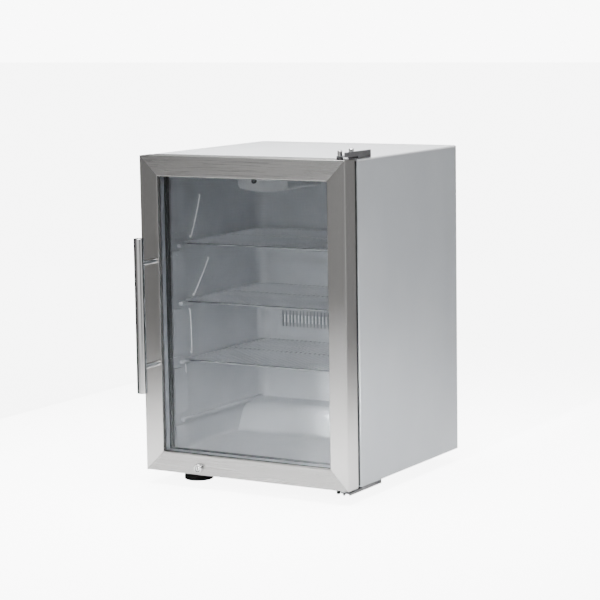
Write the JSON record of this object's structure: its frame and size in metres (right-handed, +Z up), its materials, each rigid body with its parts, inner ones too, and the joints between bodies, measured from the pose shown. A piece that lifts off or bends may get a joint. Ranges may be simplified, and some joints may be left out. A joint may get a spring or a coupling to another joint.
{
  "type": "undercounter refrigerator",
  "caption": "Compact refrigerator with a framed glass door hinged on the right, bar handle, bottom lock, wire shelves, slotted fan cover and rear machine bay.",
  "frame": {"origin": "middle of the footprint, on the surface that the feet stand on", "axes": "+Z up, the door faces -Y, +X to the right of someone facing the door"},
  "size_m": [0.5, 0.5664, 0.7285],
  "materials": {
    "brushed_frame": "brushed along each bar",
    "polished": "polished",
    "side_skin": "satin light grey",
    "top_skin": "satin pale grey",
    "galvanised": "galvanised sheet",
    "hinge_steel": "dark satin",
    "copper": "drawn tube",
    "black_rubber": "matt",
    "black_plastic": "moulded",
    "black_paint": "satin black",
    "liner_plastic": "vacuum-formed, satin",
    "white_plastic": "moulded, slightly translucent",
    "foam": "rigid foam",
    "door_glass": "clear"
  },
  "bodies": {
    "cabinet": {"back_panel": "galvanised", "base_pan": "galvanised", "breaker_frame": "black_plastic", "compressor": "black_paint", "compressor_cradle": "galvanised", "condenser": "black_paint", "condenser_fan_motor": "black_paint", "discharge_pipe": "copper", "drain_tube": "black_rubber", "evaporation_tray": "white_plastic", "evaporator": "galvanised", "evaporator_cover": "liner_plastic", "evaporator_fan_motor": "black_plastic", "hinge_bracket_lower": "hinge_steel", "hinge_bracket_upper": "hinge_steel", "hinge_pin_lower": "polished", "hinge_pin_upper": "polished", "hinge_screw": "polished", "inner_liner": "liner_plastic", "insulation_foam": "foam", "lamp_housing": "white_plastic", "led_board": "white_plastic", "liquid_line": "copper", "lock_keeper": "galvanised", "machine_cover": "galvanised", "power_inlet": "black_plastic", "relay_box": "black_plastic", "side_panel_left": "side_skin", "side_panel_right": "side_skin", "suction_pipe": "copper", "thermostat_body": "black_plastic", "top_panel": "top_skin", "wire_shelf_1": "polished", "wire_shelf_2": "polished", "wire_shelf_3": "polished"},
    "door": {"door_rail_top": "brushed_frame", "door_rail_bottom": "brushed_frame", "door_stile_left": "brushed_frame", "door_stile_right": "brushed_frame", "glazing_bead": "black_rubber", "outer_pane": "door_glass", "inner_pane": "door_glass", "glazing_spacer": "galvanised", "door_inner_frame": "black_plastic", "magnetic_gasket": "black_rubber", "handle_bar": "polished", "handle_standoff_lower": "polished", "handle_standoff_upper": "polished", "hinge_bush_upper": "black_plastic", "hinge_bush_lower": "white_plastic", "lock_barrel": "polished"},
    "lock": {"lock_plug": "polished", "lock_cam": "galvanised"},
    "thermostat_dial": {"thermostat_knob": "black_plastic"},
    "evaporator_rotor": {"evaporator_fan": "black_plastic"},
    "condenser_rotor": {"condenser_fan": "black_plastic"},
    "front_left_foot": {"foot_front_left": "black_plastic"},
    "front_right_foot": {"foot_front_right": "black_plastic"},
    "rear_left_foot": {"foot_rear_left": "black_plastic"},
    "rear_right_foot": {"foot_rear_right": "black_plastic"}
  },
  "joints": [
    {"name": "door_swing", "type": "hinge", "parent": "cabinet", "child": "door", "pos_m": [0.2325, -0.2022, 0.708], "axis": [0, 0, 1], "range_deg": [0, 110]},
    {"name": "lock_turn", "type": "hinge", "parent": "door", "child": "lock", "pos_m": [-0.1145, -0.2142, 0.045], "axis": [0, 1, 0], "range_deg": [0, 90]},
    {"name": "thermostat_turn", "type": "hinge", "parent": "cabinet", "child": "thermostat_dial", "pos_m": [-0.0253, -0.1142, 0.652], "axis": [0, 1, 0], "range_deg": [0, 270]},
    {"name": "evaporator_fan_spin", "type": "hinge", "parent": "cabinet", "child": "evaporator_rotor", "pos_m": [0, 0.2172, 0.325], "axis": [0, 1, 0], "continuous": true},
    {"name": "condenser_fan_spin", "type": "hinge", "parent": "cabinet", "child": "condenser_rotor", "pos_m": [0.14, 0.1688, 0.0655], "axis": [0, 1, 0], "continuous": true},
    {"name": "front_left_foot_turn", "type": "hinge", "parent": "cabinet", "child": "front_left_foot", "pos_m": [-0.175, -0.1242, 0], "axis": [0, 0, 1], "continuous": true},
    {"name": "front_right_foot_turn", "type": "hinge", "parent": "cabinet", "child": "front_right_foot", "pos_m": [0.17, -0.0742, 0], "axis": [0, 0, 1], "continuous": true},
    {"name": "rear_left_foot_turn", "type": "hinge", "parent": "cabinet", "child": "rear_left_foot", "pos_m": [-0.14, 0.2458, 0], "axis": [0, 0, 1], "continuous": true},
    {"name": "rear_right_foot_turn", "type": "hinge", "parent": "cabinet", "child": "rear_right_foot", "pos_m": [0.14, 0.2458, 0], "axis": [0, 0, 1], "continuous": true}
  ]
}
